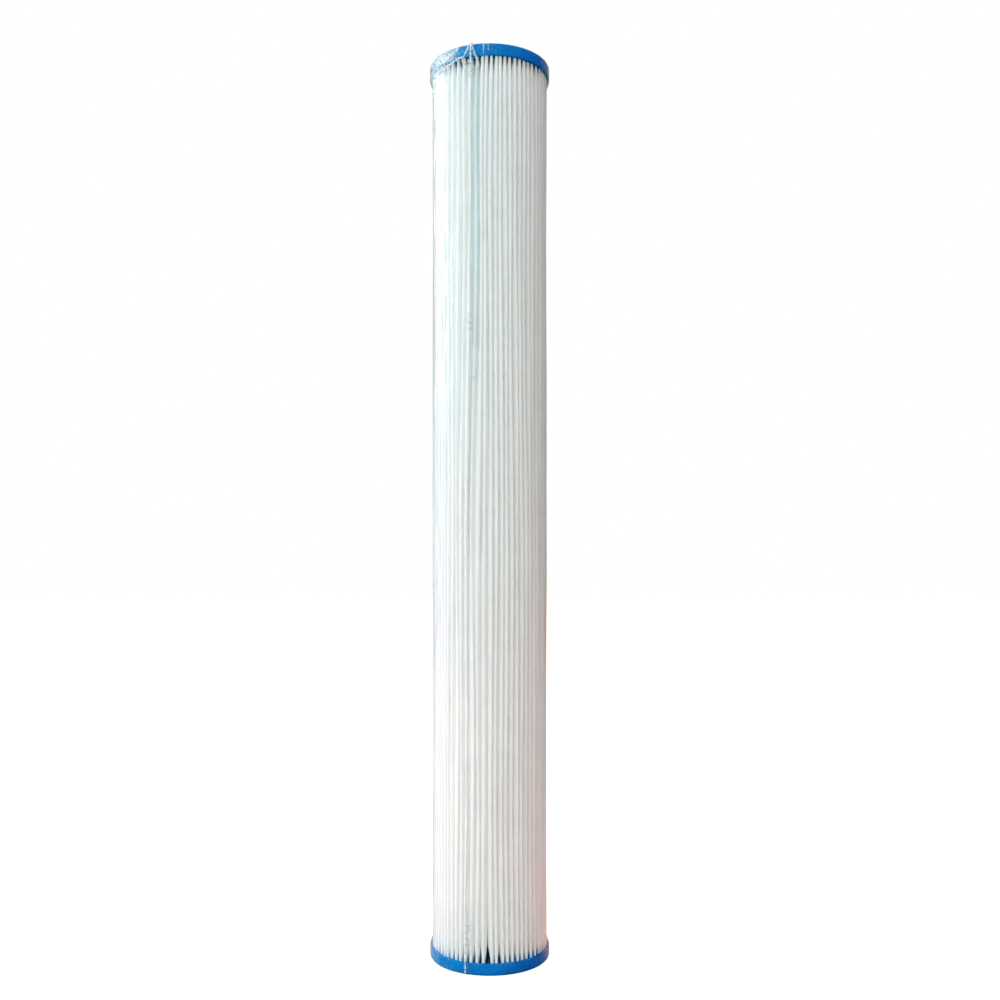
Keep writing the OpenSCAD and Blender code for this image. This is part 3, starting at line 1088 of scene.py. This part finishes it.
# Each light: azimuth in degrees, distance, height, width and tallness in metres, the setting that holds
# its power, its colour, and whether glossy surfaces mirror it
LAMPS = (
    ("window", (153, 1.5, 0.925, 1.0, 0.79), "window_power", (0.75, 0.96, 1.0), True),
    ("wall", (205, 1.5, 0.95, 1.4, 1.0), "wall_power", (0.22, 0.8, 1.0), True),
    ("soft_box", (242, 1.4, 2.1, 1.4, 1.1), "key_power", (0.03, 0.5, 1.0), False),
    ("fill", (318, 1.4, 2.0, 1.4, 1.1), "fill_power", (0.36, 0.55, 1.0), False),
    ("front", (250, 1.4, 0.35, 1.4, 0.6), "front_power", (1.0, 0.88, 0.62), False),
    ("low_wall", (165, 1.2, 0.25, 1.0, 0.5), "low_power", (0.22, 0.35, 1.0), True),
    ("table_left", (165, 0.42, 0.003, 0.7, 0.7), "table_power", (1.0, 0.56, 0.6), False),
    ("table_right", (0, 0.25, 0.003, 0.4, 0.4), "warm_power", (1.0, 0.02, 0.0), False),
    ("warm_line", (20, 0.075, 0.025, 0.05, 0.04), "line_power", (1.0, 0.2, 0.02), False),
)
# Colours of the room at eye level and overhead, and the direction of its bright side
ROOM_LEVEL = (0.48, 0.61, 0.48)
ROOM_OVERHEAD = (0.85, 0.62, 0.48)
BRIGHT_SIDE = (-0.8, -0.6, 0.0)
# How the darkest tones are deepened, as brightness in and out
TOE = ((0.04, 0.002), (0.08, 0.012), (0.13, 0.058), (0.2, 0.145), (0.28, 0.25), (0.4, 0.4))
# How far the frame is shifted from the lens's axis, as shares of its width
SHIFT_X, SHIFT_Y = 0.0103, 0.0581


def studio_world(s):
    """White where the camera sees it. It lights the object warmer overhead, and dimmer behind the right."""
    n = Nodes("studio", "World")
    way = n.add("TexCoord").outputs["Generated"]
    upward = n.add("SeparateXYZ", {"Vector": way}).outputs["Z"]
    to_bright = n.add("VectorMath", {0: way, 1: BRIGHT_SIDE}, operation="DOT_PRODUCT").outputs["Value"]
    level = n.remap(to_bright, -1.0, 1.0, s.room_dim, s.room)
    around = n.add("Background", {"Color": n.mix(upward, ROOM_LEVEL, ROOM_OVERHEAD), "Strength": level})
    white = n.add("Background", {"Color": (1.0, 1.0, 1.0, 1.0)})
    return n.finish(n.blend(n.add("LightPath").outputs["Is Camera Ray"], around, white))


class CARTRIDGE_OT_stage(bpy.types.Operator):
    """Build the floor, the lights and the camera"""

    bl_idname = "cartridge.stage"
    bl_label = "Stage"

    def area_light(self, name, azimuth, distance, height, width, tall, power, colour, mirrored):
        """A rectangular light that faces the axis at its own height, or the middle if it hangs higher.

        One that lies on the table faces up.
        """
        data = bpy.data.lights.new(name, "AREA")
        data.shape = "RECTANGLE"
        data.size = width
        data.size_y = tall
        data.energy = power
        data.color = colour
        light = bpy.data.objects.new(name, data)
        turn = math.radians(azimuth)
        light.visible_camera = False
        light.visible_glossy = mirrored
        light.location = (distance * math.cos(turn), distance * math.sin(turn), height)
        target = Vector((0, 0, min(height, LENGTH / 2)))
        if height < ON_TABLE:
            target = light.location + Vector((0, 0, 1))
        light.rotation_euler = (light.location - target).to_track_quat("Z", "Y").to_euler()
        bpy.context.scene.collection.objects.link(light)

    def execute(self, context):
        s = context.scene.filter_stage
        floor_half = 6.0
        mesh = bpy.data.meshes.new("studio_floor")
        corners = [(-1, -1), (1, -1), (1, 1), (-1, 1)]
        mesh.from_pydata([(x * floor_half, y * floor_half, 0.0) for x, y in corners], [], [(0, 1, 2, 3)])
        floor = bpy.data.objects.new("studio_floor", mesh)
        context.scene.collection.objects.link(floor)
        mesh.materials.append(floor_material(s))

        for name, place, power, colour, mirrored in LAMPS:
            self.area_light(name, *place, getattr(s, power), colour, mirrored)

        context.scene.world = studio_world(s)

        data = bpy.data.cameras.new("camera")
        data.sensor_width = 36
        data.lens = s.focal_length
        data.shift_x = SHIFT_X
        data.shift_y = SHIFT_Y
        data.clip_start = 0.01
        camera = bpy.data.objects.new("camera", data)
        camera.location = (0, -s.camera_distance, s.camera_height)
        camera.rotation_euler = (math.pi / 2, 0, 0)
        context.scene.collection.objects.link(camera)
        context.scene.camera = camera
        view = context.scene.view_settings
        view.view_transform = "Standard"
        view.use_curve_mapping = True
        for point in TOE:
            view.curve_mapping.curves[3].points.new(*point).handle_type = "VECTOR"
        view.curve_mapping.update()
        return {"FINISHED"}


class CARTRIDGE_PT_panel(bpy.types.Panel):
    """Lists the steps that build the cartridge"""

    bl_idname = "CARTRIDGE_PT_panel"
    bl_label = "Filter Cartridge"
    bl_space_type = "VIEW_3D"
    bl_region_type = "UI"
    bl_category = "Cartridge"

    def draw(self, context):
        for operator in OPERATORS:
            self.layout.operator(operator.bl_idname)
        for name in SETTINGS:
            box = self.layout.box()
            settings = getattr(context.scene, name)
            for key in settings.__annotations__:
                box.prop(settings, key)


OPERATORS = (
    CARTRIDGE_OT_stage,
    CARTRIDGE_OT_end_caps,
    CARTRIDGE_OT_core,
    CARTRIDGE_OT_pleated_media,
    CARTRIDGE_OT_side_seam,
    CARTRIDGE_OT_shrink_film,
)
CLASSES = (*SETTINGS.values(), *OPERATORS, CARTRIDGE_PT_panel)


def register():
    for cls in CLASSES:
        bpy.utils.register_class(cls)
    for name, cls in SETTINGS.items():
        setattr(bpy.types.Scene, name, PointerProperty(type=cls))


def unregister():
    for name in SETTINGS:
        delattr(bpy.types.Scene, name)
    for cls in reversed(CLASSES):
        bpy.utils.unregister_class(cls)


def main():
    register()
    bpy.ops.cartridge.stage()
    bpy.ops.cartridge.end_caps()
    bpy.ops.cartridge.core()
    bpy.ops.cartridge.pleated_media()
    bpy.ops.cartridge.side_seam()
    bpy.ops.cartridge.shrink_film()


if __name__ == "__main__":
    main()
